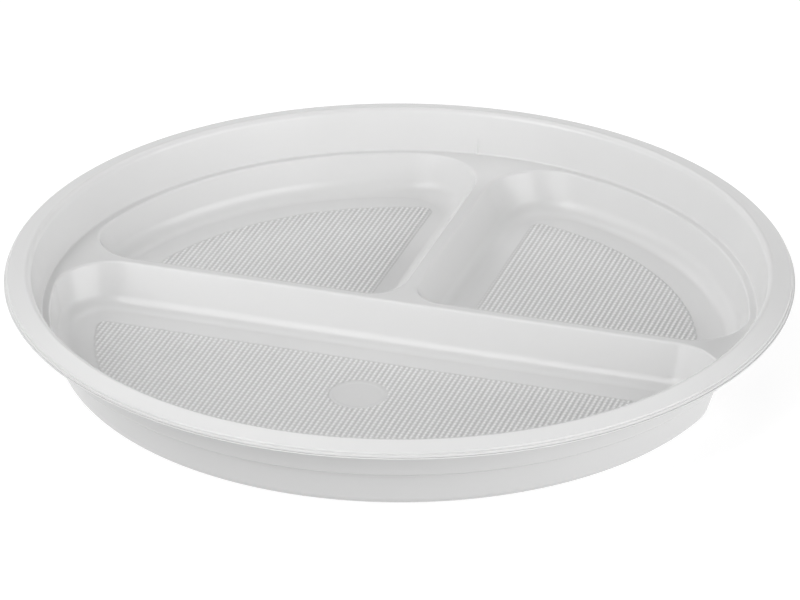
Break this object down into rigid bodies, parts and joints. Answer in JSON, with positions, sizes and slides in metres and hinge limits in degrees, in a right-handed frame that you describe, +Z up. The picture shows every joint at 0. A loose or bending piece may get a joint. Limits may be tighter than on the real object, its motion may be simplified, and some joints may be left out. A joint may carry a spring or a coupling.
{
  "type": "divided plate",
  "caption": "Round divided serving plate in thin moulded plastic, with raised dividers between compartments, a stepped ledge, a turned-down rim and knurled floors.",
  "frame": {"origin": "on the table under the plate's centre, at the underside of the floor", "axes": "+Z up, +X along the long divider, +Y towards the pair of smaller compartments"},
  "size_m": [0.22, 0.22, 0.0243],
  "materials": {
    "white_plastic": "smooth white injection-moulded polystyrene, soft gloss",
    "knurled_plastic": "white injection-moulded polystyrene with a fine square knurl"
  },
  "bodies": {
    "root": {"rim_flange": "white_plastic", "rim_lip": "white_plastic", "lip_band": "white_plastic", "upper_wall": "white_plastic", "witness_line": "white_plastic", "ledge": "white_plastic", "front_wall": "white_plastic", "back_left_wall": "white_plastic", "back_right_wall": "white_plastic", "long_divider_left": "white_plastic", "long_divider_right": "white_plastic", "short_divider": "white_plastic", "divider_junction": "white_plastic", "front_margin": "white_plastic", "back_left_margin": "white_plastic", "back_right_margin": "white_plastic", "front_grip_panel": "knurled_plastic", "back_left_grip_panel": "knurled_plastic", "back_right_grip_panel": "knurled_plastic", "gate_disc": "white_plastic"}
  },
  "joints": []
}
